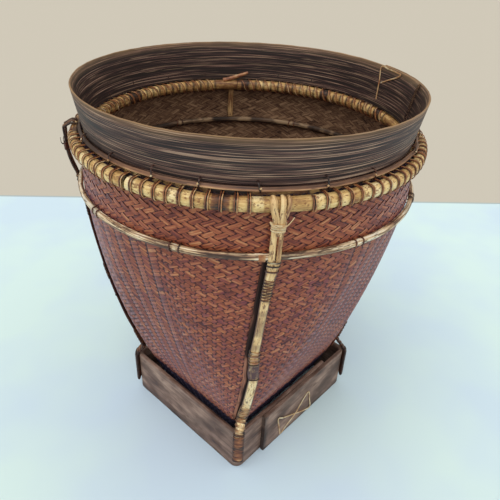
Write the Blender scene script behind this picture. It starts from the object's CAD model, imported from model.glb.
import math
import random

import bmesh
import bpy
from mathutils import Matrix, Vector, noise


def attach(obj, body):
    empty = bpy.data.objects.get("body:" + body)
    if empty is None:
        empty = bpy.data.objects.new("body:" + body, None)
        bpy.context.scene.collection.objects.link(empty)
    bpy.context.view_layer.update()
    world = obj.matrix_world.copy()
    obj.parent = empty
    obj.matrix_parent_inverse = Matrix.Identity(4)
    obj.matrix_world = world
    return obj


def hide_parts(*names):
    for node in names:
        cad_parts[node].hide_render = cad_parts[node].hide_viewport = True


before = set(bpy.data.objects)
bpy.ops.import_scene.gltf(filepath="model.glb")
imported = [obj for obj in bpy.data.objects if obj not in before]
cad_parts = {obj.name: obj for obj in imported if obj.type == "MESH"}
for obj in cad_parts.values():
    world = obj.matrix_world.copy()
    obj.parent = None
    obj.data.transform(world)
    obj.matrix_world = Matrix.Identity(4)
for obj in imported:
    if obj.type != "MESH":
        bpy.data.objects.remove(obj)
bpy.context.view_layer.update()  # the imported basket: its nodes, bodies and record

mm = 0.001
degrees = math.pi / 180
zUp = Vector((0, 0, 1))

# Small sums used all over

def mix(start, end, share):
    return start + (end - start) * share


def clamp(value):
    return min(1, max(0, value))


def smooth(value):
    share = clamp(value)
    return share * share * (3 - 2 * share)


def spread(start, end, steps):
    return [mix(start, end, i / steps) for i in range(steps + 1)]


def readOff(table, height):  # a size that changes softly from one height of the table to the next
    for (low, first), (high, second) in zip(table, table[1:]):
        if height < high:
            return mix(first, second, smooth((height - low) / (high - low)))
    return table[-1][1]


def polar(radius, angle, z):
    return Vector((radius * math.cos(angle), radius * math.sin(angle), z))


def wobble(value, seed):  # a soft random number from -1 to 1
    return noise.noise(Vector((value, seed * 7.31, 0.5)))


# The shape of the body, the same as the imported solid's, in millimetres

body = {
    "footHeight": 55,
    "bulgeHeight": 294,
    "closing": 32,  # height above the widest part over which the body draws in to the rim
    "top": 338,
    "rimRadius": 147.3,
    "bulgeRadius": 149.8,
    "footHalfX": 74.9,
    "footHalfY": 83.9,
    "fullness": 0.25,
    "cornerRound": 0.16,
    "cornerGrowth": 0.85,
    "centre": Vector((-2, 6.5, 0)),
    "turn": 6.3 * degrees,
    "wall": 2.4,
    "floor": 22,
}


def bodySection(z):  # half sizes, corner radius, centre and turn at a height
    rise = (z - body["footHeight"]) / (body["bulgeHeight"] - body["footHeight"])
    share = clamp(rise)
    filled = rise * (1 + body["fullness"]) if rise < 0 else share + body["fullness"] * share * (1 - share)
    above = clamp((z - body["bulgeHeight"]) / body["closing"])
    if rise < 1:
        halfX = mix(body["footHalfX"], body["bulgeRadius"], filled)
        halfY = mix(body["footHalfY"], body["bulgeRadius"], filled)
    else:
        halfX = halfY = mix(body["bulgeRadius"], body["rimRadius"], above ** 2)
    corner = mix(body["cornerRound"], 1, share ** body["cornerGrowth"]) * min(halfX, halfY)
    return halfX, halfY, corner, body["centre"] * (1 - share), body["turn"] * share


def quarterLength(halfX, halfY, corner):
    return halfX + halfY - 2 * corner + corner * math.pi / 2


def outlinePoint(z, inset, share):
    # walks round the body's outline from the middle of its right side
    halfX, halfY, corner, centre, turn = bodySection(z)
    halfX, halfY, corner = halfX - inset, halfY - inset, corner - inset
    coreX, coreY = halfX - corner, halfY - corner
    arc = corner * math.pi / 2
    quarters = (share % 1) * 4
    quarter = int(quarters)
    first, second = (coreY, coreX) if quarter % 2 == 0 else (coreX, coreY)
    walk = (quarters - quarter) * quarterLength(halfX, halfY, corner)
    if walk < first:
        x, y, lean = second + corner, walk, 0
    elif walk < first + arc:
        lean = (walk - first) / corner
        x, y = second + corner * math.cos(lean), first + corner * math.sin(lean)
    else:
        x, y, lean = second - (walk - first - arc), first + corner, math.pi / 2
    facing = quarter * math.pi / 2
    place = polar(1, facing, 0) * x + polar(1, facing + math.pi / 2, 0) * y
    spin = Matrix.Rotation(turn, 3, "Z")
    return spin @ place + centre + zUp * z, spin @ polar(1, facing + lean, 0)


corners = [("front_right", 1, -1), ("back_right", 1, 1), ("back_left", -1, 1), ("front_left", -1, -1)]


def cornerAngle(corner):
    return math.atan2(corner[2], corner[1]) + body["turn"]


def bodyCorner(corner, z, distance):  # a point over a corner of the body, and the way out there
    halfX, halfY, rounding, centre, turn = bodySection(z)
    reach = (rounding + distance) * math.sqrt(0.5)
    place = Vector((corner[1] * (halfX - rounding + reach), corner[2] * (halfY - rounding + reach), 0))
    spin = Matrix.Rotation(turn, 3, "Z")
    return spin @ place + centre + zUp * z, spin @ Vector((corner[1], corner[2], 0)).normalized()


# Meshes: every strand, cane, hoop and board is a grid that is rolled round a path

class Piece:
    # a piece in the making, with three numbers for the material on each of its points

    def __init__(self):
        self.bm = bmesh.new()
        layers = self.bm.verts.layers
        self.grain = layers.float_vector.new("grain")  # across, through and along the fibre, metres
        self.tone = layers.float.new("tone")  # light or dark piece, 0 to 1
        self.mark = layers.float.new("mark")  # dark places such as nodes, 0 to 1

    def roll(self, rings, offset=0.0, closed=True):
        # each ring is a list of points round the section: place, grain, tone and mark
        count = len(rings)
        sides = len(rings[0])
        rows = sides + 1 if closed else sides
        grid = bmesh.ops.create_grid(self.bm, x_segments=count - 1, y_segments=rows - 1, size=1)["verts"]
        for i, ring in enumerate(rings):
            for j in range(rows):
                place, grain, tone, mark = ring[j % sides]
                vert = grid[j * count + i]
                vert.co = place * mm
                vert[self.grain] = Vector(grain) * mm + Vector((0, 0, offset))
                vert[self.tone] = tone
                vert[self.mark] = mark
        return grid

    def layStrip(self, stations, section, tone=0.5, mark=None, offset=0.0):
        # stations are (place, outward direction, swell); the section is (sideways, outwards)
        rings = []
        walked = 0
        for i, (place, out, swell) in enumerate(stations):
            before = stations[max(i - 1, 0)][0]
            after = stations[min(i + 1, len(stations) - 1)][0]
            along = (after - before).normalized()
            side = out.cross(along).normalized()
            lift = along.cross(side)
            walked += (place - before).length
            marked = mark(place, walked) if mark else 0
            ring = []
            for across, outward in section:
                point = place + side * across * swell + lift * outward * swell
                ring.append((point, (across, outward, walked), tone, marked))
            rings.append(ring)
        self.roll(rings, offset)

    def finish(self, name, look, replaced=(), sharpAngle=45, rolled=True):
        bm = self.bm
        if rolled:
            bmesh.ops.remove_doubles(bm, verts=bm.verts, dist=1e-6)
            openEdges = [edge for edge in bm.edges if edge.is_boundary]
            bmesh.ops.holes_fill(bm, edges=openEdges, sides=0)
            bmesh.ops.recalc_face_normals(bm, faces=bm.faces)
        mesh = bpy.data.meshes.new(name)
        bm.to_mesh(mesh)
        bm.free()
        mesh.shade_smooth()
        mesh.set_sharp_from_angle(angle=sharpAngle * degrees)
        material, slot = look
        mesh.materials.append(material)
        shape = bpy.data.objects.new(name, mesh)
        bpy.context.scene.collection.objects.link(shape)
        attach(shape, "root")
        if replaced:
            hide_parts(*replaced)
        print(name, len(mesh.polygons), "faces")


def signedPower(value, power):
    return math.copysign(abs(value) ** power, value)


def ovalSection(width, thickness, sides, squareness=2.0):
    # points of a rounded section, from the middle of its underside on
    points = []
    for i in range(sides):
        angle = 2 * math.pi * i / sides - math.pi / 2
        across = signedPower(math.cos(angle), 2 / squareness)
        outward = signedPower(math.sin(angle), 2 / squareness)
        points.append((across * width / 2, outward * thickness / 2))
    return points


def strandSection(width, thickness):
    return ovalSection(width, thickness, 6, 2.4)


# Materials

def startMaterial(name):
    material = bpy.data.materials.new(name)
    material.use_nodes = True
    tree = material.node_tree
    return material, tree, next(node for node in tree.nodes if node.type == "BSDF_PRINCIPLED")


def setInputs(tree, node, inputs):  # each is a socket to link, or a plain value
    for name, value in inputs.items():
        if isinstance(value, bpy.types.NodeSocket):
            tree.links.new(value, node.inputs[name])
        else:
            node.inputs[name].default_value = value


def addNode(tree, kind, inputs, **settings):
    node = tree.nodes.new("ShaderNode" + kind)
    for name, value in settings.items():
        setattr(node, name, value)
    setInputs(tree, node, inputs)
    return node.outputs


def addMath(tree, operation, first, *second):
    return addNode(tree, "Math", dict(enumerate((first, *second))), operation=operation)[0]


def addAttribute(tree, name, output="Fac"):
    return addNode(tree, "Attribute", {}, attribute_name=name)[output]


def splitVector(tree, vector):
    return addNode(tree, "SeparateXYZ", {0: vector})


def addNoise(tree, place, across, along, detail, roughness=0.55):
    stretched = addNode(tree, "Mapping", {"Vector": place, "Scale": (across, across, along)})[0]
    inputs = {"Vector": stretched, "Scale": 1, "Detail": detail, "Roughness": roughness}
    return addNode(tree, "TexNoise", inputs)["Fac"]


def addRange(tree, value, fromLow, fromHigh, toLow=0.0, toHigh=1.0, soft=False):
    inputs = {"Value": value, "From Min": fromLow, "From Max": fromHigh, "To Min": toLow, "To Max": toHigh}
    return addNode(tree, "MapRange", inputs, interpolation_type="SMOOTHSTEP" if soft else "LINEAR")[0]


def colour(red, green, blue):  # a colour as a picture editor shows it, 0 to 255
    shares = [part / 255 for part in (red, green, blue)]
    light = [((share + 0.055) / 1.055) ** 2.4 if share > 0.04 else share / 12.92 for share in shares]
    return (*light, 1)


def addMix(tree, amount, first, second):  # second is a socket or the three numbers of a colour
    if isinstance(second, tuple):
        second = colour(*second)
    # sockets 6 and 7 and output 2 are the ones for colours
    return addNode(tree, "Mix", {0: amount, 6: first, 7: second}, data_type="RGBA")[2]


def addRamp(tree, value, shades):
    node = tree.nodes.new("ShaderNodeValToRGB")
    elements = node.color_ramp.elements
    while len(elements) < len(shades):
        elements.new(0.5)
    for element, (position, shade) in zip(elements, shades.items()):
        element.position = position
        element.color = colour(*shade)
    setInputs(tree, node, {"Fac": value})
    return node.outputs["Color"]


def finishMaterial(tree, shader, shade, streak, look):
    relief = {"Strength": look["bump"], "Distance": look["bumpDepth"] * mm, "Height": streak}
    setInputs(tree, shader, {
        "Base Color": shade,
        "Roughness": addRange(tree, streak, 0.3, 0.7, *look["roughness"]),
        "Normal": addNode(tree, "Bump", relief)[0],
        "Specular IOR Level": look["gloss"],
    })


usualLook = {  # noise sizes are given across the fibre and along it
    "streaks": (700, 60),
    "streakShare": 0.2,
    "drift": (60, 60),
    "driftShare": 0.25,
    "flecks": (500, 60),
    "fleckLow": 0.56,
    "fleckShare": 0.6,
    "blotches": (200, 60),
    "roughness": (0.42, 0.6),
    "bump": 0.3,
    "bumpDepth": 0.3,
    "gloss": 0.45,
}


def fibreLook(name, slot, **changes):
    # Split bamboo, cane or bent wood: streaks along the fibre, slow changes of tone, flecks and dark marks.
    # A look is a material and its slot in the record.
    look = usualLook | changes
    material, tree, shader = startMaterial(name)
    grain = addAttribute(tree, "grain", "Vector")
    tone = addAttribute(tree, "tone")
    mark = addAttribute(tree, "mark")
    streak = addNoise(tree, grain, *look["streaks"], 4, 0.6)
    drift = addNoise(tree, grain, *look["drift"], 3)
    streakTone = addRange(tree, streak, 0.3, 0.7, -look["streakShare"], look["streakShare"])
    driftTone = addRange(tree, drift, 0.3, 0.7, -look["driftShare"], look["driftShare"])
    value = addMath(tree, "ADD", tone, addMath(tree, "ADD", streakTone, driftTone))
    shade = addRamp(tree, value, look["shades"])
    flecks = addNoise(tree, grain, *look["flecks"], 2, 0.7)
    fleckLow = look["fleckLow"]
    fleckShare = addRange(tree, flecks, fleckLow, fleckLow + 0.09, 0, look["fleckShare"], True)
    shade = addMix(tree, fleckShare, shade, look["fleckShade"])
    blotch = addNoise(tree, grain, *look["blotches"], 4, 0.65)
    markShare = addMath(tree, "MULTIPLY", mark, addRange(tree, blotch, 0.3, 0.6, 0.45, 1.0))
    shade = addMix(tree, markShare, shade, look["markShade"])
    if "edges" in look:  # dark along both sides of a cane
        reach = addMath(tree, "ABSOLUTE", splitVector(tree, grain)["X"])
        edge = addRange(tree, reach, *[size * mm for size in look["edges"]], 0, 0.9, True)
        shade = addMix(tree, edge, shade, look["markShade"])
    finishMaterial(tree, shader, shade, streak, look)
    return material, slot


rimBoard = fibreLook(
    "rim bamboo", "pale_bamboo",
    shades={
        0: (48, 34, 28), 0.25: (116, 72, 42), 0.5: (192, 148, 86), 0.75: (228, 194, 130), 1: (244, 224, 176),
    },
    streaks=(700, 70), streakShare=0.16, driftShare=0.2, flecks=(420, 260), fleckLow=0.54, fleckShare=0.75,
    fleckShade=(122, 74, 40), blotches=(300, 200), markShade=(48, 30, 24),
)
hoopBoard = fibreLook(
    "hoop bamboo", "pale_bamboo",
    shades={
        0: (54, 36, 30), 0.3: (122, 86, 66), 0.55: (188, 152, 112), 0.8: (228, 202, 162), 1: (244, 230, 204),
    },
    streaks=(680, 30), streakShare=0.65, drift=(60, 24), flecks=(520, 90), fleckLow=0.53, fleckShare=0.8,
    fleckShade=(74, 52, 40), blotches=(300, 120), markShade=(60, 42, 34),
)
caneBoard = fibreLook(
    "cane bamboo", "pale_bamboo",
    shades={
        0: (52, 34, 28), 0.3: (136, 92, 60), 0.55: (214, 172, 116), 0.8: (242, 210, 154), 1: (252, 234, 194),
    },
    streaks=(620, 60), driftShare=0.12, flecks=(600, 170), fleckLow=0.555, fleckShare=0.8,
    fleckShade=(104, 66, 48), blotches=(340, 160), markShade=(82, 50, 50), edges=(3.5, 4.7),
)
dark = fibreLook(
    "dark bamboo", "dark_bamboo",
    shades={0: (26, 14, 11), 0.5: (62, 34, 26), 1: (172, 116, 92)}, streaks=(900, 30), streakShare=0.35,
    drift=(30, 20), driftShare=0.2, fleckLow=0.58, fleckShare=0.5, fleckShade=(24, 14, 12),
    markShade=(30, 20, 16), roughness=(0.6, 0.8), gloss=0.2,
)
innerDark = fibreLook(
    "inner bamboo", "inner_bamboo",
    shades={0: (44, 30, 22), 0.5: (94, 70, 52), 1: (156, 126, 94)}, streaks=(700, 40), streakShare=0.3,
    drift=(60, 30), driftShare=0.3, flecks=(400, 90), fleckShade=(36, 24, 18), markShade=(40, 28, 22),
    roughness=(0.5, 0.7), bump=0.25, gloss=0.4,
)
collarBoard = fibreLook(
    "collar wood", "collar_wood",
    shades={
        0: (34, 24, 23), 0.3: (52, 35, 34), 0.55: (90, 62, 56), 0.8: (132, 100, 84), 1: (178, 148, 124),
    },
    streaks=(1200, 10), streakShare=1.1, drift=(70, 10), driftShare=0.08, flecks=(1000, 16), fleckLow=0.58,
    fleckShare=0.55, fleckShade=(170, 138, 110), blotches=(60, 30), markShade=(158, 122, 82),
    roughness=(0.48, 0.66), bump=0.35, gloss=0.35,
)
stripWood = fibreLook(
    "strip bamboo", "strip_bamboo",
    shades={0: (58, 36, 28), 0.5: (142, 98, 68), 1: (218, 172, 124)}, streaks=(900, 30), streakShare=0.25,
    drift=(60, 25), fleckShade=(60, 38, 28), blotches=(100, 60), markShade=(50, 32, 24),
    roughness=(0.45, 0.62), bump=0.25,
)
footBoard = fibreLook(
    "foot wood", "foot_wood",
    shades={0: (50, 36, 34), 0.4: (112, 86, 74), 0.7: (152, 124, 108), 1: (184, 156, 138)}, streaks=(420, 16),
    drift=(55, 26), driftShare=0.36, flecks=(150, 50), fleckShade=(92, 64, 50), blotches=(90, 50),
    markShade=(56, 42, 36), roughness=(0.5, 0.7), bump=0.35, gloss=0.4,
)
strandCane = fibreLook(
    "cane strand", "cane_strand",
    shades={
        0: (36, 18, 16), 0.3: (96, 48, 30), 0.6: (168, 106, 62), 0.8: (208, 172, 122), 1: (236, 220, 184),
    },
    streaks=(1300, 80), drift=(90, 90), flecks=(700, 200), fleckLow=0.58, fleckShare=0.5,
    fleckShade=(48, 28, 20), blotches=(300, 200), markShade=(46, 28, 22), roughness=(0.34, 0.5), bump=0.2,
    gloss=0.5,
)

wovenLook = {
    "shades": {
        0: (58, 26, 18), 0.25: (106, 53, 35), 0.5: (144, 76, 47), 0.75: (172, 102, 62), 1: (194, 136, 92),
    },
    "innerShades": {0: (60, 42, 32), 0.5: (126, 94, 70), 1: (178, 142, 108)},
    "purple": (122, 64, 80),
    "streaks": (620, 40),
    "patches": (70, 110),
    "gap": (44, 18, 16),  # beside and under the strips
    "shadow": (30, 30, 46),  # in the foot and under the rim
    "footShadow": (0.0525, 0.0565),  # heights in metres between which it ends
    "rimShadow": (0.3265, 0.3295),
    "roughness": (0.34, 0.52),
    "bump": 0.3,
    "bumpDepth": 0.25,
    "gloss": 0.32,
    "oiled": {
        "Specular Tint": (0.8, 0.72, 1, 1),
        "Sheen Weight": 0.2,
        "Sheen Roughness": 0.4,
        "Sheen Tint": (0.62, 0.54, 0.92, 1),
    },
}


def wovenBamboo():
    # Oiled strips: each float has its own tone, and the edges and the inner side are dark
    look = wovenLook
    material, tree, shader = startMaterial("woven bamboo")
    grain = addAttribute(tree, "grain", "Vector")
    tone = addAttribute(tree, "tone")
    inner = addAttribute(tree, "mark")
    streak = addNoise(tree, grain, *look["streaks"], 4, 0.6)
    height = splitVector(tree, addNode(tree, "TexCoord", {})["Object"])["Z"]
    patch = addNoise(tree, grain, *look["patches"], 2, 0.5)
    value = addMath(tree, "ADD", tone, addRange(tree, streak, 0.3, 0.7, -0.45, 0.45))
    value = addMath(tree, "ADD", value, addRange(tree, height, 0.06, 0.16, 0.14, 0.02))
    shade = addRamp(tree, value, look["shades"])
    purple = addRange(tree, patch, 0.42, 0.68, 0.0, 0.32, True)
    purple = addMath(tree, "MULTIPLY", purple, addRange(tree, height, 0.27, 0.31, 1.3, 0.15))
    shade = addMix(tree, purple, shade, look["purple"])
    shade = addMix(tree, inner, shade, addRamp(tree, value, look["innerShades"]))
    strip = splitVector(tree, grain)
    reach = addMath(tree, "ABSOLUTE", strip["X"])
    halfWidth = weave["grainWidth"] / 2 * mm
    edge = addRange(tree, reach, 0.76 * halfWidth, halfWidth, 0, 0.85, True)
    # also dark where a strip dips under the next one, less so above the lower hoop
    depth = addMath(tree, "MULTIPLY", strip["Y"], addRange(tree, height, 0.28, 0.31, 1, 0.7))
    dip = addRange(tree, depth, -0.5 * weave["lift"] * mm, -0.85 * weave["lift"] * mm, 0, 1, True)
    dip = addMath(tree, "MULTIPLY", dip, addRange(tree, inner, 0, 1, 0.85, 0))
    shade = addMix(tree, addMath(tree, "MAXIMUM", edge, dip), shade, look["gap"])
    inFoot = addRange(tree, height, *look["footShadow"], 1, 0, True)
    inFoot = addMath(tree, "MULTIPLY", inFoot, addRange(tree, inner, 0, 1, 1, 0))
    underRim = addRange(tree, height, *look["rimShadow"], 0, 0.75, True)
    shade = addMix(tree, addMath(tree, "MAXIMUM", inFoot, underRim), shade, look["shadow"])
    finishMaterial(tree, shader, shade, streak, look)
    setInputs(tree, shader, look["oiled"])
    return material, "woven_bamboo"


# The weave: two sets of strips that lean left and right and pass over two and under two. The floats lie
# in level zigzags, but in the middle of each side, below the lower hoop, the zigzags stand upright.

weave = {
    "columns": 100,
    "rows": [(150, 6.1), (180, 5.5), (210, 5.1), (240, 4.6), (265, 4.3)],  # height, and a row's height
    "uprightTop": 288,
    "upright": [(-11, 11), (39, 61), (89, 111), (138, 156)],  # in half columns from the right side's middle
    "overlap": 0.32,
    "grainWidth": 4.2,
    "thickness": 0.75,
    "lift": 0.27,
    "inset": 1.1,
    "bottom": 23,
    "floorPitch": 5.0,
    "floorHalfX": 60,
    "floorHalfY": 70,
    "floorLift": 0.45,
    "seed": 4,
}


def rowHeight(z):
    return readOff(weave["rows"], z)


def weaveHeights():  # two heights for each row of crossings
    heights = [weave["bottom"]]
    while heights[-1] < body["top"]:
        heights.append(min(heights[-1] + rowHeight(heights[-1]) / 2, body["top"]))
    return heights


def stripWidth(z):
    halfX, halfY, corner = [size - weave["inset"] for size in bodySection(z)[:3]]
    column = 4 * quarterLength(halfX, halfY, corner) / weave["columns"]
    row = rowHeight(z) * math.hypot(1, bodySection(z + 0.5)[0] - bodySection(z - 0.5)[0])
    return column * row / math.hypot(column, row) + weave["overlap"]


def isUpright(spot, z):
    inZone = any((spot - low) % (2 * weave["columns"]) <= high - low for low, high in weave["upright"])
    return inZone and z < weave["uprightTop"]


def stripOver(spot, level, z, lean):
    # 1 where a strip lies on top and -1 where it lies below
    onTop = spot % 4 < 2 if isUpright(spot, z) else level % 4 < 2
    return 1 if onTop == (lean > 0) else -1


def weaveSide(name, lean):
    piece = Piece()
    rng = random.Random(weave["seed"] + lean)
    heights = weaveHeights()
    around = 2 * weave["columns"]
    table = [[outlinePoint(z, weave["inset"], m / around) for m in range(around)] for z in heights]
    widths = [stripWidth(z) for z in heights]
    stations = 2 * len(heights) - 1
    topVerts = set()
    for number in range(weave["columns"]):
        stripTone = rng.uniform(0.44, 0.58)
        floatTone = stripTone
        offset = rng.uniform(0, 20)
        spots = [(2 * number - lean * level) % around for level in range(len(heights))]
        overs = [stripOver(spot, level, heights[level], lean) for level, spot in enumerate(spots)]
        placed = []
        for station in range(stations):
            level = station // 2
            place, out = table[level][spots[level]]
            over = overs[level]
            if station % 2:  # halfway to the next crossing
                nextPlace, nextOut = table[level + 1][spots[level + 1]]
                place, out = (place + nextPlace) / 2, (out + nextOut).normalized()
                over = (over + overs[level + 1]) / 2 * 1.15
            elif over > -1 and overs[max(level - 1, 0)] < 0:
                floatTone = stripTone + rng.gauss(0, 0.085)
            placed.append((place, out, over, widths[level], floatTone))
        walked = 0
        rings = []
        for i, (place, out, over, width, tone) in enumerate(placed):
            before, after = placed[max(i - 1, 0)][0], placed[min(i + 1, stations - 1)][0]
            along = (after - before).normalized()
            side = out.cross(along).normalized()
            lift = along.cross(side).normalized()
            walked += (place - before).length
            middle = place + lift * (over * weave["lift"] + weave["thickness"] / 2)
            sunk = min(0, (over - 1) * weave["lift"])
            rings.append([
                (middle + side * width * share, (weave["grainWidth"] * share, sunk, walked), tone, 0)
                for share in (-0.5, 0.5)
            ])
        topVerts.update(piece.roll(rings, offset, closed=False))
    bm = piece.bm
    bm.normal_update()
    bmesh.ops.solidify(bm, geom=bm.faces[:], thickness=weave["thickness"] * mm)
    for vert in bm.verts:
        vert[piece.mark] = 0 if vert in topVerts else 1
    piece.finish(name, woven, ["woven_body"], 30, rolled=False)


def floorWeave():
    # straight strips of the floor inside the foot, over two and under two
    piece = Piece()
    rng = random.Random(9)
    halfX, halfY = weave["floorHalfX"], weave["floorHalfY"]
    level = body["floor"] + weave["inset"]
    section = ovalSection(weave["floorPitch"] - 0.3, weave["thickness"], 4, 9)
    for turned, (length, breadth) in enumerate(((halfY, halfX), (halfX, halfY))):
        count = int(2 * breadth / weave["floorPitch"])
        steps = int(2 * length / weave["floorPitch"])
        for i in range(count + 1):
            shift = (i - count / 2) * weave["floorPitch"]
            stations = []
            for k in range(2 * steps + 1):
                reach = (k / 2 - steps / 2) * weave["floorPitch"]
                over = 1 if ((k // 2) + i + 2 * turned) % 4 < 2 else -1
                place = Vector((reach, shift, 0)) if turned else Vector((shift, reach, 0))
                stations.append((place + body["centre"] + zUp * (level + over * weave["floorLift"]), zUp, 1))
            tone = rng.uniform(0.3, 0.6)
            piece.layStrip(stations, section, tone, lambda place, walked: 1, rng.uniform(0, 9))
    piece.finish("woven_floor", woven, (), 30)


woven = wovenBamboo()
weaveSide("weave_right", 1)
weaveSide("weave_left", -1)
floorWeave()

# The rim: a split bamboo hoop on each side of the wall, swelling a little between the lashings

rim = {
    "base": 330,
    "top": 340.8,
    "outer": (147.6, 156.1),
    "inner": (144.6, 135.8),
    "swell": 0.7,
    "joinAngle": -81 * degrees,
    "joinGap": 3.5 / 156.1,
    "stained": [-54, 21, 97, 158, 215],  # where the outer hoop is dark, in degrees
    "innerJoinAngle": 138.8 * degrees,
    "innerJoinGap": 0.004,
    "endRadius": 138.5,
    "endTurn": (6.6, -5),  # degrees from the join
    "endRise": (0.4, 9),
    "endSize": (4.4, 2.2),
    "loops": 22,
    "ribGap": 12.6 * degrees,
}
lashing = {"width": 0.85, "thickness": 0.7, "apart": 1.65, "slant": 0.5, "low": 329.3, "seed": 3}
lashingPitch = (math.pi / 2 - rim["ribGap"]) / rim["loops"]


def loopAngles(corner):
    start = cornerAngle(corner) + rim["ribGap"] / 2 + lashingPitch / 2
    return [start + lashingPitch * loop for loop in range(rim["loops"])]


def pinchAt(angle):  # 1 under a lashing and 0 halfway to the next
    share = ((angle - body["turn"] - math.pi / 4) % (math.pi / 2)) - rim["ribGap"] / 2 - lashingPitch / 2
    turns = share / lashingPitch
    if -0.5 < turns < rim["loops"] - 0.5:
        return math.cos(math.pi * turns) ** 2
    return 0.5


def innerJoin():
    # the pointed end of the inner hoop lies over its beginning and sticks up
    piece = Piece()
    stations = []
    for share in spread(0, 1, 10):
        angle = rim["innerJoinAngle"] + mix(*rim["endTurn"], share) * degrees
        place = polar(rim["endRadius"], angle, rim["top"] + mix(*rim["endRise"], share ** 1.3))
        stations.append((place, -polar(1, angle, -0.5).normalized(), 1 - 0.4 * share ** 2))
    piece.layStrip(stations, ovalSection(*rim["endSize"], 8), 0.56, None, 2)
    piece.finish("rim_hoop_inside_end", strandCane)


def roundOutline(inside, outside, low, high, bend, steps):
    # radius, height and outward normal round a frame with round corners: down the outside, in and up
    outline = []
    rounds = (
        (outside - bend, high - bend, 90),
        (outside - bend, low + bend, 0),
        (inside + bend, low + bend, -90),
        (inside + bend, high - bend, 180),
    )
    for radius, z, facing in rounds:
        for i in range(steps + 1):
            angle = (facing - 90 * i / steps) * degrees
            normal = Vector((math.cos(angle), 0, math.sin(angle)))
            outline.append((radius + bend * normal.x, z + bend * normal.z, normal))
    return outline


def hoopSection(flat, bulged, base, top):
    # the flat side lies against the wall, the other is round, and the upper inner edge is worn away
    way = 1 if bulged > flat else -1
    thickness = abs(bulged - flat)
    height = top - base
    worn = flat + way * thickness * 0.1
    points = [(base + height * 0.06, flat), (base + height * 0.8, flat), (base + height * 0.93, worn)]
    for i in range(9):
        angle = math.pi / 2 - math.pi * i / 8
        reach = math.cos(angle) ** 0.7 if 0 < i < 8 else 0
        z = base + height / 2 * (1 + math.sin(angle))
        points.append((z, flat + way * thickness * (0.28 + 0.72 * reach)))
    return points


def layHoop(piece, size, base, top, start, end, steps, tone, swell, mark):
    flat, bulged = size
    rings = []
    for angle in spread(start, end, steps):
        section = hoopSection(flat, bulged + math.copysign(swell(angle), bulged - flat), base, top)
        drop = 0.3 * wobble(angle * 5, base)
        shade = tone(angle)
        rings.append([
            (
                polar(radius, angle, z + drop),
                (z - base, radius - flat, angle * bulged),
                shade,
                mark(angle, (z - base) / (top - base), abs(radius - flat)),
            )
            for z, radius in section
        ])
    piece.roll(rings)


def beadTone(angle, seed, dark):
    # each stretch between two lashings has its own tone, and a few are dark
    quarter, within = divmod(angle - body["turn"] - math.pi / 4, math.pi / 2)
    bead = math.floor((within - rim["ribGap"] / 2 - lashingPitch / 2) / lashingPitch)
    if not 0 <= bead < rim["loops"]:
        return 0.5
    rng = random.Random(40 * (quarter % 4) + bead + 1000 * seed)
    return rng.uniform(0.1, 0.3) if rng.random() < dark else rng.uniform(0.55, 0.85)


def nodeAt(angle, nodes, reach):  # 1 at each of the places, falling to 0 beside it
    near = min(abs((angle / degrees - node + 180) % 360 - 180) for node in nodes)
    return max(0, 1 - near / reach)


def leftShade(angle):  # 1 on the left side, where hoops, strip and collar have another tone
    turn = (angle / degrees + 180) % 360 - 180
    return smooth((-104 - turn) / 20)


def outerTone(angle):
    stain = 0.45 * nodeAt(angle, rim["stained"], 2.4) ** 0.3
    return beadTone(angle, 4, 0) - 0.2 * leftShade(angle) - stain


def outerMark(angle, rise, depth):
    return max(1.3 * pinchAt(angle) ** 4, 1.4 * smooth((3.4 - depth) / 2.4))


def innerTone(angle):
    return beadTone(angle, 9, 0.2) - 0.2


def innerMark(angle, rise, depth):
    return pinchAt(angle) ** 4


def rimHoop(side, which, start, gap, tone, mark):
    piece = Piece()
    layHoop(
        piece, rim[which], rim["base"], rim["top"], start, start + 2 * math.pi - gap, 1080,
        tone, lambda angle: rim["swell"] * (1 - pinchAt(angle)) - 0.15, mark,
    )
    piece.finish("rim_hoop_" + side, rimBoard, [which + "_rim_hoop"])


def rimLashing(corner, name):
    # one pair of thin strands, wound on round the rim from rib to rib
    piece = Piece()
    rng = random.Random(lashing["seed"] + corner[1] + 3 * corner[2])
    half = lashing["thickness"] / 2
    high = rim["top"] + half + 0.15
    outline = roundOutline(rim["inner"][1] - half, rim["outer"][1] + half, lashing["low"], high, 4.2, 4)
    section = strandSection(lashing["width"], lashing["thickness"])
    angles = loopAngles(corner)
    jogs = [(rng.uniform(-1, 1), rng.uniform(-1, 1)) for _ in angles]
    for strand in (-0.5, 0.5):
        stations = []
        for loop, angle in enumerate(angles):
            for i, (radius, z, normal) in enumerate(outline):
                step = clamp((i - 10) / 10)
                after = jogs[min(loop + 1, len(jogs) - 1)]
                lean = mix(jogs[loop][0], jogs[loop][1], clamp(i / 9))
                lean = mix(lean, after[0], step) * lashing["slant"]
                lean += strand * lashing["apart"] * (1 + 0.2 * jogs[loop][1])
                turn = angle + lashingPitch * step + lean / 150
                stations.append((polar(radius, turn, z), polar(normal.x, turn, normal.z), 1))
        piece.layStrip(stations, section, 0.52 + 0.26 * strand, None, rng.uniform(0, 9))
    piece.finish(name + "_lashing", strandCane, [name + "_rim_lashing"])


rimHoop("outside", "outer", rim["joinAngle"] + rim["joinGap"] / 2, rim["joinGap"], outerTone, outerMark)
rimHoop("inside", "inner", rim["innerJoinAngle"], rim["innerJoinGap"], innerTone, innerMark)
innerJoin()
for corner, side in zip(corners, ("right", "back", "left", "front")):
    rimLashing(corner, side)
print("rim done")

# The lower hoops, tied to each other through the wall

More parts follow.
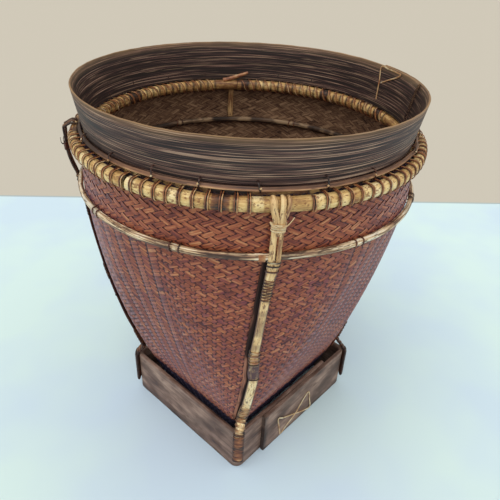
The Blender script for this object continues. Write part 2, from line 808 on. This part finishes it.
lower = {
    "base": 291.3,
    "top": 296.9,
    "outer": (150.1, 154.2),
    "inner": (146.5, 142.7),
    "joinAngle": -38.7 * degrees,
    "joinGap": 0.012,
    "endAngle": -42.9 * degrees,
    "nodes": [-120, -83, -52, 3, 47, 101, 160, 205],
    "ties": [-98, -66.6, -13.8, 24, 76, 112, 166, 204],
    "stained": [-52, 62, 148],  # where the hoops are dark, in degrees
}


def lowerHoop(name, node, size, look):
    piece = Piece()
    start = lower["joinAngle"]
    end = start + 2 * math.pi - lower["joinGap"]
    flat = size[0]

    def tone(angle):
        shade = 0.55 + 0.2 * wobble(angle * 6, flat) + 0.3 * nodeAt(angle, lower["ties"], 1.0)
        if flat < lower["outer"][0]:  # light places on the inner hoop
            shade += 0.9 * clamp(3 * wobble(angle * 12, 5) - 0.4)
        shade -= 0.4 * smooth(2 * nodeAt(angle, lower["stained"], 9))
        return shade + 0.2 * leftShade(angle - 30 * degrees)

    def swell(angle):
        return max(0.4 * nodeAt(angle, lower["nodes"], 1.0), nodeAt(angle, lower["ties"], 1.2)) - 0.1

    def mark(angle, rise, depth):
        speck = 0.8 * nodeAt(angle, lower["nodes"], 0.7) + 0.5 * clamp(2.4 * wobble(angle * 9, 8))
        return speck + smooth((0.34 - rise) / 0.2)

    layHoop(piece, size, lower["base"], lower["top"], start, end, 720, tone, swell, mark)
    piece.finish(name, look, [node])


def lowerHoopEnd():
    # the cut end of the hoop beside the front right rib
    piece = Piece()
    middle = (lower["base"] + lower["top"]) / 2
    radius = lower["outer"][1] - 0.2
    stations = [
        (polar(radius, lower["endAngle"] + turn * degrees, middle), polar(1, lower["endAngle"], 0), 1)
        for turn in spread(-0.9, 0.9, 4)
    ]
    piece.layStrip(stations, ovalSection(5.6, 1.6, 12, 4), 0.66)
    piece.finish("lower_hoop_end", strandCane)


def tieLoop(piece, angle, inside, outside, low, high, width, thickness, tone, slant=0.0):
    # a closed strand round everything between two radii and two heights
    bend = min(outside - inside, high - low) * 0.35
    stations = []
    for radius, z, normal in roundOutline(inside, outside, low, high, bend, 3):
        turn = angle + slant * ((z - low) / (high - low) - 0.5) / radius
        stations.append((polar(radius, turn, z), polar(normal.x, turn, normal.z), 1))
    stations.append(stations[0])
    piece.layStrip(stations, strandSection(width, thickness), tone, None, angle)


def lowerTies():
    piece = Piece()
    rng = random.Random(12)
    for tie in lower["ties"]:
        for shift in (-1.35, 1.35):
            tieLoop(
                piece, (tie + shift) * degrees, lower["inner"][1] - 0.3, lower["outer"][1] + 0.5,
                lower["base"] - 0.4, lower["top"] + 0.5, 1.2, 0.8, rng.uniform(0.05, 0.4), rng.uniform(-1, 1),
            )
    piece.finish("lower_hoop_ties", strandCane)


lowerHoop("lower_hoop_outside", "outer_lower_hoop", lower["outer"], hoopBoard)
lowerHoop("lower_hoop_inside", "inner_lower_hoop", lower["inner"], innerDark)
lowerHoopEnd()
lowerTies()
print("lower hoops done")

# The collar: a bent sheet that laps over its own beginning, with a strip tied round its foot

collar = {
    "foot": 342.2,
    "top": 380,
    "footRadius": 143.6,
    "flare": 6.4,
    "thickness": 2.6,
    "lapStart": 43 * degrees,
    "lapEnd": 70 * degrees,
    "runOut": 24 * degrees,
    "gap": 0.3,
    "stripHeight": 3.4,
    "stripThickness": 1.2,
    "stripRadius": 146.7,
    "stripMiddle": 344.2,
    "stripLean": 0.8,
    "stripStart": 18 * degrees,
    "ties": [
        -89.5, -73.5, -60, -44.4, -26, -10, 15.2, 31, 52, 80,
        104, 120, 137, 153.5, 171.4, 189.6, 205, 221, 236, 253,
    ],
}


def collarRadius(z):
    return collar["footRadius"] + collar["flare"] * (z - collar["foot"]) / (collar["top"] - collar["foot"])


def sheetSection(height, thickness, rows):  # upright, round at its edges; pairs of height and depth
    points = [(0.5, 0), (0, -thickness * 0.35), (0, -thickness * 0.65), (0.5, -thickness)]
    points += [(z, -thickness) for z in spread(0.5, height - 0.7, rows)[1:]]
    points += [(height, -thickness * 0.7), (height, -thickness * 0.3)]
    points += [(z, 0) for z in spread(height - 0.7, 0.5, rows)[:-1]]
    return points


def collarSheet():
    piece = Piece()
    height = collar["top"] - collar["foot"]
    section = sheetSection(height, collar["thickness"], 6)
    start, end = collar["lapStart"], collar["lapEnd"] + 2 * math.pi
    rings = []
    for angle in spread(start, end, 300):
        outward = clamp((angle - start - (collar["lapEnd"] - collar["lapStart"])) / collar["runOut"])
        shift = -(collar["thickness"] + collar["gap"]) * (1 - outward)
        ring = []
        for z, depth in section:
            share = z / height
            depth *= 1 - 0.45 * smooth((share - 0.86) * 7)
            ripple = 0.35 * wobble(angle * 6 + share, 3) * share
            edge = -0.5 * abs(wobble(angle * 9, 6)) * smooth((share - 0.9) * 10)
            radius = collarRadius(collar["foot"] + z) + shift + depth + ripple
            place = polar(radius, angle, collar["foot"] + z + edge)
            tone = 0.37 - 0.12 * leftShade(angle - 20 * degrees) if depth > -0.5 else 0.1
            ring.append((place, (z, depth, angle * collar["footRadius"]), tone, smooth((share - 0.97) * 40)))
        rings.append(ring)
    piece.roll(rings)
    piece.finish("collar_sheet", collarBoard, ["collar"])


def collarStrip():  # leans out, so that its lower edge hides the gap under the collar
    piece = Piece()
    start = collar["stripStart"]
    stations = []
    for angle in spread(start, start + 2 * math.pi + 5 * degrees, 240):
        lap = clamp((angle - start - 2 * math.pi + 6 * degrees) / (4 * degrees)) * 1.2
        radius = collar["stripRadius"] + lap + 0.15 * wobble(angle * 9, 1)
        z = collar["stripMiddle"] + 0.2 * wobble(angle * 7, 7)
        stations.append((polar(radius, angle, z), polar(1, angle, collar["stripLean"]).normalized(), 1))
    section = ovalSection(collar["stripHeight"], collar["stripThickness"], 8, 3.5)
    piece.layStrip(stations, section, 0.6)
    for vert in piece.bm.verts:
        edge = smooth(-vert[piece.grain].x / mm - 0.7)
        angle = math.atan2(vert.co.y, vert.co.x)
        vert[piece.tone] = mix(0.24 + 0.6 * edge, -0.1, leftShade(angle - 20 * degrees))
    piece.finish("collar_foot_strip", stripWood, ["collar_strip"])


def collarTies():
    piece = Piece()
    rng = random.Random(21)
    for tie in collar["ties"]:
        angle = tie * degrees
        high = collar["foot"] + rng.uniform(6.5, 9.5)
        inner = collarRadius(high) - collar["thickness"] - 0.4
        if collar["lapStart"] < angle < collar["lapEnd"]:
            inner -= collar["thickness"]
        outer = collar["stripRadius"] + 2
        low = collar["foot"] - 0.5
        tone = rng.uniform(-0.05, 0.12)
        tieLoop(piece, angle, inner, outer, low, high, 1.3, 0.8, tone, rng.uniform(-2, 2))
        lump = bmesh.ops.create_icosphere(piece.bm, subdivisions=1, radius=1)["verts"]
        middle = polar(outer + 0.3, angle + rng.uniform(-0.005, 0.005), collar["foot"] + rng.uniform(2, 4))
        for vert in lump:
            vert.co = (middle + Vector((vert.co.x, vert.co.y, vert.co.z * 0.8))) * mm
            vert[piece.grain] = vert.co
            vert[piece.tone] = 0.75
    piece.finish("collar_ties", strandCane)


def smoothPath(points, steps):
    # a soft curve through points, as in a hand-laid strand
    path = []
    for i in range(len(points) - 1):
        before = points[max(i - 1, 0)]
        start, end = points[i], points[i + 1]
        after = points[min(i + 2, len(points) - 1)]
        for share in spread(0, 1, steps)[: None if i == len(points) - 2 else -1]:
            squared, cubed = share ** 2, share ** 3
            path.append(0.5 * (
                2 * start + (end - before) * share
                + (2 * before - 5 * start + 4 * end - after) * squared
                + (3 * start - before - 3 * end + after) * cubed
            ))
    return path


def collarLace():
    piece = Piece()

    def inside(angle, share):
        z = mix(collar["foot"], collar["top"], share)
        return polar(collarRadius(z) - 2 * collar["thickness"] - 1.0, angle * degrees, z)

    points = [
        inside(67.6, 0.18), inside(68.8, 0.6), inside(70, 0.955), inside(65.3, 0.965), inside(59.4, 0.965),
        inside(57.2, 0.955), inside(58.8, 0.87), inside(63, 0.745), inside(67.6, 0.6),
    ]
    path = smoothPath(points, 5)
    stations = [(place, -Vector((place.x, place.y, 0)).normalized(), 1) for place in path]
    piece.layStrip(stations, ovalSection(1.4, 0.9, 6), 0.78)
    piece.finish("collar_lap_lace", strandCane, ["collar_lacing"])


collarSheet()
collarStrip()
collarTies()
collarLace()
print("collar done")

# The foot: a band of bent wood, its outer end lapped over its inner end on the right side

foot = {
    "left": -87,
    "right": 83,
    "lapRight": 87.9,
    "front": -88,
    "back": 98,
    "height": 55,
    "thickness": 4.6,
    "round": 9,
    "innerEnd": 59.9,
    "outerEnd": -51,
}


def footPath():  # places on the band's outer face with the way out, clockwise from the inner end
    r = foot["round"]
    turnings = [
        (foot["right"] - r, foot["front"] + r, 0),
        (foot["left"] + r, foot["front"] + r, -90),
        (foot["left"] + r, foot["back"] - r, -180),
        (foot["lapRight"] - r, foot["back"] - r, -270),
    ]
    places = [(Vector((foot["right"], foot["innerEnd"], 0)), 0)]
    for x, y, facing in turnings:
        for i in range(9):
            angle = (facing - 90 * i / 8) * degrees
            places.append((Vector((x + r * math.cos(angle), y + r * math.sin(angle), 0)), angle))
    places.append((Vector((foot["lapRight"], foot["outerEnd"], 0)), 0))
    path = []
    for (place, angle), (after, nextAngle) in zip(places, places[1:]):
        steps = max(1, int((after - place).length / 7))
        for share in spread(0, 1, steps)[:-1]:
            path.append((place.lerp(after, share), polar(1, mixAngle(angle, nextAngle, share), 0)))
    path.append((places[-1][0], polar(1, 0, 0)))
    return path


def mixAngle(start, end, share):
    turn = (end - start + math.pi) % (2 * math.pi) - math.pi
    return start + turn * share


def footBand():
    piece = Piece()
    height = foot["height"]
    section = sheetSection(height, foot["thickness"], 8)
    path = footPath()
    length = sum((after[0] - before[0]).length for before, after in zip(path, path[1:]))
    walked = 0
    rings = []
    for i, (place, out) in enumerate(path):
        walked += (place - path[max(i - 1, 0)][0]).length
        tone = 0.5 + 0.1 * wobble(walked / 60, 4)
        end = 1.1 * smooth((walked - length + 7) / 5)
        ring = []
        for z, depth in section:
            dent = -0.3 * abs(wobble(walked / 23 + z / 30, 2)) if depth > -0.5 else 0
            chip = -0.5 * abs(wobble(walked / 12, 8)) * smooth(z / height * 10 - 9)
            stain = 0.5 * clamp(3 * wobble(walked / 30 + z / 18, 5) - 0.6)
            mark = 0.7 * smooth(1 - z / 6) + stain + end
            ring.append((place + out * (depth + dent) + zUp * (z + chip), (z, depth, walked), tone, mark))
        rings.append(ring)
    piece.roll(rings)
    piece.finish("foot_board", footBoard, ["foot_band"])


def footLace():
    piece = Piece()
    face = foot["lapRight"] + 0.75

    def on(y, z, lift=0.0):
        return Vector((face + lift, y, z))

    points = [
        on(-22.7, 3), on(-26.5, 20), on(-28.8, 34.8), on(-20, 29), on(0, 18), on(22, 6), on(33, 3.6),
        on(30, 18), on(25.4, 34.8), on(14, 27), on(0, 18, 1.3), on(-14, 8), on(-20.5, 3),
    ]
    path = smoothPath(points, 4)
    stations = [(place, Vector((1, 0, 0)), 1) for place in path]
    piece.layStrip(stations, strandSection(1.6, 1.0), 0.84)
    piece.finish("foot_lap_lace", strandCane, ["foot_lacing"])


footBand()
footLace()
print("foot done")

# The ribs: a dark stave on each corner, a cane over it, and strands wound round both

rib = {
    "overStave": 3.6,
    "overFoot": 2.5,
    "overHoop": 5.7,
    "overRim": 1.4,
    "footTop": 54,
    "bodyStart": 69,
    "split": 290,
    "hoopRamp": 26,
    "caneWidth": 10,
    "widths": [(60, 9.8), (110, 9.2), (190, 8.2), (225, 7.2), (262, 7.8), (290, 9)],  # height, width there
    "caneThickness": 2.9,
    "squareness": 2.2,
    "dark": ("front_left", "back_right"),
    "node": (151, 175),
    "staveWidth": 9,
    "staveThickness": 0.8,
    "staveShift": -3.8,
    "staveLow": 61,
    "staveHigh": 289.8,
    "knee": 168,
    "headLow": 314,
    "knot": 318,
    "tails": 322,
    "fan": (324, 338),
    "overRimBends": [  # radius, height, lean inwards and share of the swell
        (156.6, 340.8, 0.5, 1), (154.6, 341.8, 0.8, 0.9), (152, 341.9, 1.1, 0.7), (150, 341, 1.3, 0.6),
    ],
    "sway": {  # height, and how far the cane lies to the right of the corner there
        "front_right": [
            (54, 0.8), (69, 2), (104, 3), (148, 2.8), (167, 0.2),
            (193, -2.3), (262, -3), (300, -2.6), (340, -1.4),
        ],
        "front_left": [(54, 0), (90, 3), (130, 5.5), (240, 5.5), (280, 3), (300, 0)],
    },
    "bow": {"front_left": 5},  # how far a cane bends out between the hoops
}

halves = (  # sideways place below the knot and over the rim, width below, swell over the rim, tone
    (-2.2, -5, 4.6, 1.1, 0.02),
    (2.8, 5.6, 3.4, 0.85, -0.14),
)


def footCorner(corner, z, distance):
    lift = (foot["round"] + distance) * math.sqrt(0.5) - foot["round"]
    right = foot["lapRight"] if corner[2] > 0 else foot["right"]
    place = Vector((
        (right if corner[1] > 0 else foot["left"]) + corner[1] * lift,
        (foot["back"] if corner[2] > 0 else foot["front"]) + corner[2] * lift,
        z,
    ))
    return place, Vector((corner[1], corner[2], 0)).normalized()


def swayAt(corner, z):
    return readOff(rib["sway"].get(corner[0], [(0, 0)]), z)


def canePoint(corner, z):
    if z <= rib["footTop"]:
        place, out = footCorner(corner, z, rib["overFoot"])
    elif z < rib["bodyStart"]:
        low = footCorner(corner, rib["footTop"], rib["overFoot"])
        high = bodyCorner(corner, rib["bodyStart"], rib["overStave"])
        share = (z - rib["footTop"]) / (rib["bodyStart"] - rib["footTop"])
        place, out = low[0].lerp(high[0], share), low[1].lerp(high[1], share).normalized()
    else:
        ramp = clamp((z - (lower["base"] - rib["hoopRamp"])) / rib["hoopRamp"])
        above = clamp((z - body["bulgeHeight"]) / (rim["base"] - body["bulgeHeight"]))
        overRim = rim["outer"][1] + rib["overRim"] - bodySection(z)[0]
        distance = mix(mix(rib["overStave"], rib["overHoop"], ramp), overRim, above)
        distance += rib["bow"].get(corner[0], 0) * math.sin(2.3 * above)
        place, out = bodyCorner(corner, z, distance)
    return place + zUp.cross(out) * swayAt(corner, z), out


def frameAt(path, z):  # place, sideways, lengthwise and outward directions
    place, out = path(z)
    along = (path(z + 0.3)[0] - path(z - 0.3)[0]).normalized()
    side = along.cross(out).normalized()
    return place, side, along, side.cross(along)


def caneFrame(corner, z):
    return frameAt(lambda height: canePoint(corner, height), z)


def nodeBand(z, rise):  # 1 on the joint of the cane
    low, high = rib["node"]
    return smooth((z - low) / rise) * smooth((high - z) / rise)


def caneMark(z):
    specks = 0.5 * clamp(3 * wobble(z / 7, 4)) * smooth((z - 190) / 8) * smooth((256 - z) / 6)
    return max(nodeBand(z, 2) * 1.15, specks, smooth((60 - z) / 6) * 0.7)


def stave(corner):
    piece = Piece()
    stations = []
    for z in spread(rib["staveLow"], rib["staveHigh"], 46):
        place, side, along, out = frameAt(lambda height: bodyCorner(corner, height, 0.7), z)
        shift = rib["staveShift"] + 0.7 * swayAt(corner, z) + 0.3 * wobble(z / 20, 3)
        stations.append((place + side * shift, out, 1))
    piece.layStrip(stations, ovalSection(rib["staveWidth"], rib["staveThickness"], 16, 3), 0.1)
    for vert in piece.bm.verts:
        # only its edge is light above the knee of the rib, and more of it below
        higher = smooth((vert.co.z / mm - rib["knee"]) / 25)
        if vert[piece.grain].x > mix(1.2, 3.5, higher) * mm:
            vert[piece.tone] = mix(0.9, 0.45, higher)
    piece.finish(corner[0] + "_dark_stave", dark, [corner[0] + "_stave"])


def overRimStations(corner, sideways, height, swell):
    # the end of a strand, bent inwards over the rim hoop
    angle = cornerAngle(corner) + swayAt(corner, rim["top"]) / rim["outer"][1]
    side = polar(1, angle + math.pi / 2, 0)
    stations = []
    for radius, z, lean, thinner in rib["overRimBends"]:
        out = polar(1 - lean, angle, lean).normalized()
        stations.append((polar(radius, angle, z + height * thinner) + side * sideways, out, swell * thinner))
    return stations


def cane(corner):
    piece = Piece()
    stations = []
    for z in [12, 20, 30, 40, 50] + spread(52, rib["split"], 119):
        place, side, along, out = caneFrame(corner, z)
        breadth = readOff(rib["widths"], z) / rib["caneWidth"]
        stations.append((place, out, breadth * (1 + 0.14 * nodeBand(z, 4)) + 0.02 * wobble(z / 9, corner[1])))
    wholeTone = 0.08 if corner[0] in rib["dark"] else 0.6
    piece.layStrip(
        stations, ovalSection(rib["caneWidth"], rib["caneThickness"], 12, rib["squareness"]),
        wholeTone, lambda place, walked: caneMark(place.z), corner[1],
    )
    for vert in piece.bm.verts:  # the cane is lighter below its joint
        vert[piece.tone] += 0.2 * smooth((rib["node"][0] - vert.co.z / mm) / 5) * (wholeTone > 0.5)
    for below, above, width, swell, lighter in halves:
        stations = []
        for z in spread(rib["split"] - 4, rim["top"] - 2.6, 20):
            share = smooth((z - rib["fan"][0]) / (rib["fan"][1] - rib["fan"][0]))
            place, side, along, out = caneFrame(corner, z)
            stations.append((place + side * mix(below, above, share), out, mix(1, swell, share)))
        stations += overRimStations(corner, above, 0, swell)
        piece.layStrip(stations, ovalSection(width, 2.2, 8, 2.4), wholeTone + lighter, None, below)
    piece.finish(corner[0] + "_rib_cane", caneBoard, [corner[0] + "_cane"])


def headStrand(corner):
    # a third strand between the two halves, up from the knot and over the rim hoop
    piece = Piece()
    stations = []
    for z in spread(rib["headLow"], rim["top"] - 2.6, 8):
        place, side, along, out = caneFrame(corner, z)
        stations.append((place + out * 0.5 + side * 1.3, out, 1))
    stations += overRimStations(corner, 1.3, 0.6, 1)
    tone = 0.2 if corner[0] in rib["dark"] else 0.62
    piece.layStrip(stations, ovalSection(3.7, 1.6, 8, 2.2), tone, None, 3)
    piece.finish(corner[0] + "_head_strand", caneBoard)


bindings = {  # height, turns, pitch, strand width and thickness, tone
    "foot_binding": (14, 18, 2.35, 2.3, 1.2, 0.46),
    "ankle_binding": (57, 10, 4.1, 2.7, 1.0, 0.72),
    "knee_binding": (177, 3.6, 4.7, 3.2, 0.9, 0.62),
    "waist_binding": (253, 7.6, 2.9, 0.8, 0.5, 0.28),
}
ringTones = {151.5: 0.0, 175: 0.0, 283: 0.3, 288.2: 0.05, 291.6: 0.95}  # height, and tone


def bindingStations(corner, height, turns, pitch, size, jog, way=1):
    # size gives the half width and half thickness of the coil at a height
    steps = 12
    power = 2 / rib["squareness"]
    stations = []
    for i in range(int(steps * turns) + 1):
        angle = way * 2 * math.pi * i / steps
        cosine, sine = math.cos(angle), math.sin(angle)
        z = height + pitch * i / steps + jog * wobble(i / 5, turns)
        wide, thick = size(z)
        place, side, along, out = caneFrame(corner, z)
        across = signedPower(cosine, power) * wide
        lift = signedPower(sine, power) * thick
        facing = (side * cosine * thick + out * sine * wide).normalized()
        stations.append((place + side * across + out * lift, facing, 1))
    return stations


def layBinding(piece, corner, height, turns, pitch, width, thickness, tone, way=1):
    def size(z):
        breadth = readOff(rib["widths"], z)
        return (breadth + thickness) / 2, (rib["caneThickness"] * breadth / rib["caneWidth"] + thickness) / 2

    def mark(place, walked):  # dark toward the sides of the cane
        centre, out = canePoint(corner, place.z)
        across = abs((place - centre).dot(zUp.cross(out)))
        return 0.85 * smooth((across - 1.8) / 2.6) + 0.8 * clamp(2 * wobble(place.z / 3, 2))

    stations = bindingStations(corner, height, turns, pitch, size, 0.4, way)
    if corner[0] in rib["dark"]:
        tone -= 0.3
    piece.layStrip(stations, strandSection(width, thickness), tone, mark, height)


def binding(corner, kind):
    piece = Piece()
    layBinding(piece, corner, *bindings[kind])
    if kind == "waist_binding":  # crossed by a second strand
        layBinding(piece, corner, *bindings[kind], -1)
    piece.finish(f"{corner[0]}_{kind}_strand", strandCane, [f"{corner[0]}_{kind}"])


def singleTurns(corner):
    # one turn each at both ends of the cane's joint, under the lower hoop and over it
    piece = Piece()
    for height, tone in ringTones.items():
        layBinding(piece, corner, height, 1.1, 0.6, 1.3, 0.8, tone)
    piece.finish(corner[0] + "_single_turns", strandCane)


def knot(corner):
    # three turns round the split cane, and two tails that stick up
    piece = Piece()
    tone = 0.2 if corner[0] in rib["dark"] else 0.85
    stations = bindingStations(corner, rib["knot"], 3, 2.1, lambda z: (5, 2), 0.3)
    piece.layStrip(stations, strandSection(2.0, 0.9), tone)
    place, side, along, out = caneFrame(corner, rib["tails"])
    for reach, rise, breadth in ((-5, 5, 2.6), (7, 8.5, 1.3)):
        tail = []
        for share in spread(0, 1, 6):
            spot = place + out * (2.4 + 0.8 * math.sin(3 * share)) + along * rise * share ** 1.5
            tail.append((spot + side * (math.copysign(2, reach) + reach * share), out, 1 - 0.5 * share))
        piece.layStrip(tail, ovalSection(breadth, 0.7, 6), tone)
    piece.finish(corner[0] + "_knot_strand", strandCane, [corner[0] + "_knot"])


stick = {"low": 297.6, "high": 329.6, "width": 6, "thickness": 2.4, "offWall": 1.9}


def innerStick(corner):
    piece = Piece()
    angle = cornerAngle(corner)
    stations = []
    for z in spread(stick["low"], stick["high"], 10):
        radius = bodySection(z)[0] - body["wall"] - stick["offWall"]
        stations.append((polar(radius, angle + 0.002 * wobble(z / 8, 2), z), -polar(1, angle, 0), 1))
    piece.layStrip(stations, ovalSection(stick["width"], stick["thickness"], 8, 2.6), 0.45)
    piece.finish(corner[0] + "_inner_stick", caneBoard, [corner[0] + "_strut"])


for corner in corners:
    stave(corner)
    cane(corner)
    headStrand(corner)
    for kind in bindings:
        binding(corner, kind)
    singleTurns(corner)
    knot(corner)
    innerStick(corner)
print("ribs done")

# Stage: a table cloth that ends at a plain wall, both on one large plane

stage = {
    "size": 12,
    "edgeDistance": 0.508,
    "edgeAngle": 135.8 * degrees,
    "cloth": (214, 234, 228),
    "clothLow": (206, 224, 232),
    "clothNear": (196, 212, 236),
    "wall": (198, 189, 172),
    "farWall": (209, 201, 184),
    "edgeLine": (150, 156, 150),
    "skyLight": (0.95, 0.98, 1.0, 1),
    "skyStrength": 0.78,
}


def makeFloor():
    bm = bmesh.new()
    bmesh.ops.create_grid(bm, x_segments=1, y_segments=1, size=stage["size"])
    mesh = bpy.data.meshes.new("floor")
    bm.to_mesh(mesh)
    bm.free()
    floor = bpy.data.objects.new("floor", mesh)
    bpy.context.scene.collection.objects.link(floor)
    material, tree, shader = startMaterial("table cloth")
    places = addNode(tree, "TexCoord", {})["Object"]
    turned = {"Vector": places, "Rotation": (0, 0, -stage["edgeAngle"])}
    forward = splitVector(tree, addNode(tree, "Mapping", turned, vector_type="POINT")[0])["X"]
    edge = stage["edgeDistance"]
    folds = addNoise(tree, places, 4, 4, 3)
    cloth = addMix(tree, addRange(tree, folds, 0.4, 0.6), colour(*stage["cloth"]), stage["clothLow"])
    away = addNode(tree, "VectorMath", {0: places}, operation="LENGTH")["Value"]
    near = addRange(tree, away, 0.1, 0.3, 0.3, 0.0, True)
    cloth = addMix(tree, near, cloth, stage["clothNear"])
    line = addRange(tree, forward, edge - 0.005, edge - 0.001, 0, 0.7, True)
    cloth = addMix(tree, line, cloth, stage["edgeLine"])
    beyond = addRange(tree, forward, edge, edge + 0.004, 0, 1, True)
    setInputs(tree, shader, {
        "Base Color": addMix(tree, beyond, cloth, stage["wall"]),
        "Roughness": 0.9,
        "Specular IOR Level": 0.2,
    })
    mesh.materials.append(material)


def makeWorld():
    world = bpy.data.worlds.new("room")
    bpy.context.scene.world = world
    world.use_nodes = True
    tree = world.node_tree
    tree.nodes.clear()
    light = addNode(tree, "Background", {"Color": stage["skyLight"], "Strength": stage["skyStrength"]})[0]
    wall = addNode(tree, "Background", {"Color": colour(*stage["farWall"])})[0]
    rays = addNode(tree, "LightPath", {})
    seen = addMath(tree, "MAXIMUM", rays["Is Camera Ray"], rays["Is Glossy Ray"])
    seen = addMath(tree, "MAXIMUM", seen, rays["Is Transmission Ray"])
    chosen = addNode(tree, "MixShader", {0: seen, 1: light, 2: wall})[0]
    addNode(tree, "OutputWorld", {0: chosen})


def makeSun(name, azimuth, elevation, strength, angle):
    lamp = bpy.data.lights.new(name, "SUN")
    lamp.energy = strength
    lamp.angle = angle * degrees
    sun = bpy.data.objects.new(name, lamp)
    bpy.context.scene.collection.objects.link(sun)
    toward = polar(math.cos(elevation * degrees), azimuth * degrees, math.sin(elevation * degrees))
    sun.rotation_euler = toward.to_track_quat("Z", "Y").to_euler()


view = {
    "lens": 36.35,
    "place": (0.3006, -0.3309, 0.4905),
    "azimuth": 131.41 * degrees,
    "pitch": -32.85 * degrees,
    "roll": -2.91 * degrees,
}


def makeCamera():
    data = bpy.data.cameras.new("camera")
    data.sensor_width = 36
    data.lens = view["lens"]
    camera = bpy.data.objects.new("camera", data)
    bpy.context.scene.collection.objects.link(camera)
    azimuth, pitch, roll = view["azimuth"], view["pitch"], view["roll"]
    look = polar(math.cos(pitch), azimuth, math.sin(pitch))
    right = Vector((math.sin(azimuth), -math.cos(azimuth), 0))
    above = right.cross(look)
    rolledRight = right * math.cos(roll) - above * math.sin(roll)
    rolledUp = right * math.sin(roll) + above * math.cos(roll)
    turn = Matrix((rolledRight, rolledUp, -look)).transposed().to_4x4()
    camera.matrix_world = Matrix.Translation(view["place"]) @ turn
    bpy.context.scene.camera = camera


makeFloor()
makeWorld()
makeSun("window light", azimuth=-85, elevation=62, strength=0.95, angle=45)
makeSun("room light", azimuth=-10, elevation=62, strength=0.4, angle=70)
makeCamera()
bpy.context.scene.view_settings.view_transform = "Standard"

print("scene done")
